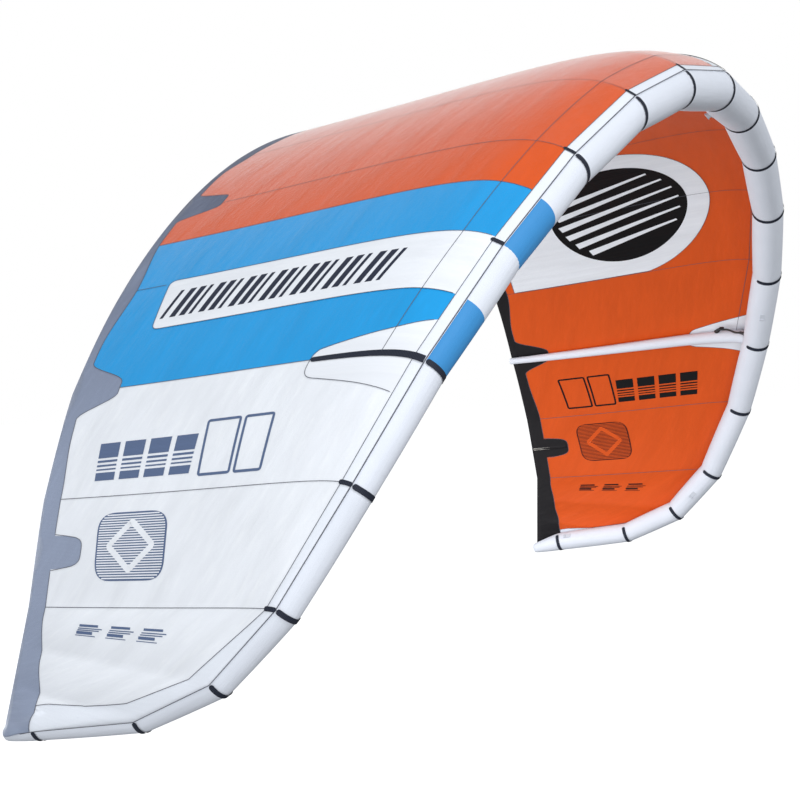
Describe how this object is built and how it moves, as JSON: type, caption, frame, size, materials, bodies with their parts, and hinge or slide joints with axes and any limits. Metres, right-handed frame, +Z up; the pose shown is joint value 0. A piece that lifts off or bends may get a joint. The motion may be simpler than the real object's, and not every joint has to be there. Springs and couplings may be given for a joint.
{
  "type": "kitesurf kite",
  "caption": "Inflatable leading-edge kitesurf kite: a curved, tapered air-filled front tube and chordwise struts carrying an arched fabric canopy with a reinforced trailing edge",
  "frame": {"origin": "the leading-edge tube's centre at the kite's middle seam, where the lines' pull holds the kite", "axes": "+X along the span towards the right wing tip, +Y from the leading edge to the trailing edge, +Z up from the arch"},
  "size_m": [5.7922, 2.2086, 2.7233],
  "materials": {
    "dacron": "woven polyester sailcloth, satin",
    "ripstop_orange": "ripstop canopy cloth, satin",
    "ripstop_blue": "ripstop canopy cloth, satin",
    "ripstop_white": "ripstop canopy cloth, satin",
    "band": "coated reinforcing cloth, matte",
    "webbing": "woven webbing, matte",
    "bladder": "polyurethane film, smooth",
    "hose": "hose rubber, satin",
    "plastic": "moulded, satin",
    "batten": "fibreglass rod, satin"
  },
  "bodies": {
    "kite": {"le_panel_1_R": "dacron", "le_panel_2_R": "dacron", "le_panel_3_R": "dacron", "le_panel_4_R": "dacron", "le_panel_5_R": "dacron", "le_panel_6_R": "dacron", "le_panel_7_R": "dacron", "le_panel_8_R": "dacron", "le_panel_9_R": "dacron", "le_tip_R": "dacron", "canopy_centre_R": "ripstop_orange", "canopy_shoulder_R": "ripstop_orange", "canopy_wing_R": "ripstop_orange", "canopy_tip_R": "ripstop_orange", "te_band_R": "band", "batten_1_R": "batten", "batten_2_R": "batten", "bridle_tab_1_R": "webbing", "bridle_tab_2_R": "webbing", "rear_line_tab_R": "webbing", "le_panel_1_L": "dacron", "le_panel_2_L": "dacron", "le_panel_3_L": "dacron", "le_panel_4_L": "dacron", "le_panel_5_L": "dacron", "le_panel_6_L": "dacron", "le_panel_7_L": "dacron", "le_panel_8_L": "dacron", "le_panel_9_L": "dacron", "le_tip_L": "dacron", "canopy_centre_L": "ripstop_orange", "canopy_shoulder_L": "ripstop_blue", "canopy_wing_L": "ripstop_white", "canopy_tip_L": "ripstop_white", "te_band_L": "band", "batten_1_L": "batten", "batten_2_L": "batten", "bridle_tab_1_L": "webbing", "bridle_tab_2_L": "webbing", "rear_line_tab_L": "webbing", "le_bladder": "bladder", "strut_C": "dacron", "strut_bladder_C": "bladder", "hose_C": "hose", "clamp_body_C": "plastic", "strut_R": "dacron", "strut_bladder_R": "bladder", "hose_R": "hose", "clamp_body_R": "plastic", "strut_L": "dacron", "strut_bladder_L": "bladder", "hose_L": "hose", "clamp_body_L": "plastic", "inflate_valve_base": "plastic", "dump_valve_base": "plastic"},
    "clamp_lever_C": {"clamp_lever_C": "plastic"},
    "clamp_lever_R": {"clamp_lever_R": "plastic"},
    "clamp_lever_L": {"clamp_lever_L": "plastic"},
    "inflate_valve_cap": {"inflate_valve_cap": "plastic"},
    "dump_valve_cap": {"dump_valve_cap": "plastic"}
  },
  "joints": [
    {"name": "clamp_lever_C_hinge", "type": "hinge", "parent": "kite", "child": "clamp_lever_C", "pos_m": [-0.0635, 0.23379, 0.09396], "axis": [0, -0.2901, 0.957], "range_deg": [0, 90]},
    {"name": "clamp_lever_R_hinge", "type": "hinge", "parent": "kite", "child": "clamp_lever_R", "pos_m": [2.39684, 0.64934, -1.10719], "axis": [0.8073, -0.0643, 0.5866], "range_deg": [0, 90]},
    {"name": "clamp_lever_L_hinge", "type": "hinge", "parent": "kite", "child": "clamp_lever_L", "pos_m": [-2.39684, 0.64934, -1.10719], "axis": [0.8073, 0.0643, -0.5866], "range_deg": [0, 90]},
    {"name": "inflate_valve_cap_hinge", "type": "hinge", "parent": "kite", "child": "inflate_valve_cap", "pos_m": [0.24597, 0.1138, -0.07326], "axis": [0.9946, 0.0436, -0.094], "range_deg": [0, 150]},
    {"name": "dump_valve_cap_hinge", "type": "hinge", "parent": "kite", "child": "dump_valve_cap", "pos_m": [-2.62476, 0.79636, -1.81689], "axis": [0.2963, -0.4848, 0.8229], "range_deg": [0, 150]}
  ]
}
